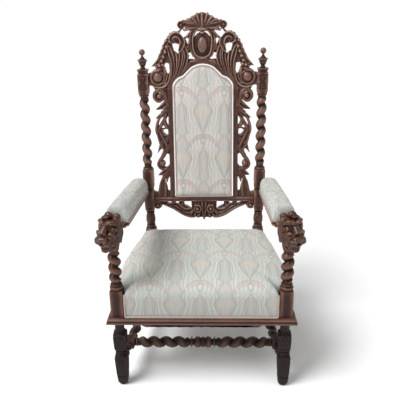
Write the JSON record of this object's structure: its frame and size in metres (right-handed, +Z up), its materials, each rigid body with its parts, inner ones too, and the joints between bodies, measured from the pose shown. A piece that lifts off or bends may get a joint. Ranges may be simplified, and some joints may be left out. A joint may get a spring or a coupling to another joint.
{
  "type": "carved throne armchair",
  "caption": "Tall carved throne armchair with twist-turned posts, pierced leaf crest, lion-head arm ends, padded arms, seat and back.",
  "frame": {"origin": "floor level, in the middle of the floor plan's bounding rectangle", "axes": "+Z up, the throne faces -Y, +X towards the right of someone looking at its front"},
  "size_m": [0.6996, 0.7456, 1.3417],
  "materials": {
    "walnut": "old waxed walnut, satin, worn bright on the high places",
    "dark_walnut": "unpolished dark walnut",
    "tapestry": "pale woven tapestry in cream, sage and rose, with a rose gimp"
  },
  "bodies": {
    "root": {"front_moulding": "walnut", "back_rail": "walnut", "cross_stretcher": "walnut", "crest_rail": "walnut", "lower_back_rail": "walnut", "front_rail": "dark_walnut", "front_apron": "dark_walnut", "seat_pad": "tapestry", "back_pad": "tapestry", "front_post_left": "walnut", "back_post_left": "walnut", "side_moulding_left": "walnut", "side_rail_left": "dark_walnut", "side_stretcher_left": "walnut", "arm_left": "walnut", "arm_pad_left": "tapestry", "back_stile_left": "walnut", "front_post_right": "walnut", "back_post_right": "walnut", "side_moulding_right": "walnut", "side_rail_right": "dark_walnut", "side_stretcher_right": "walnut", "arm_right": "walnut", "arm_pad_right": "tapestry", "back_stile_right": "walnut"}
  },
  "joints": []
}
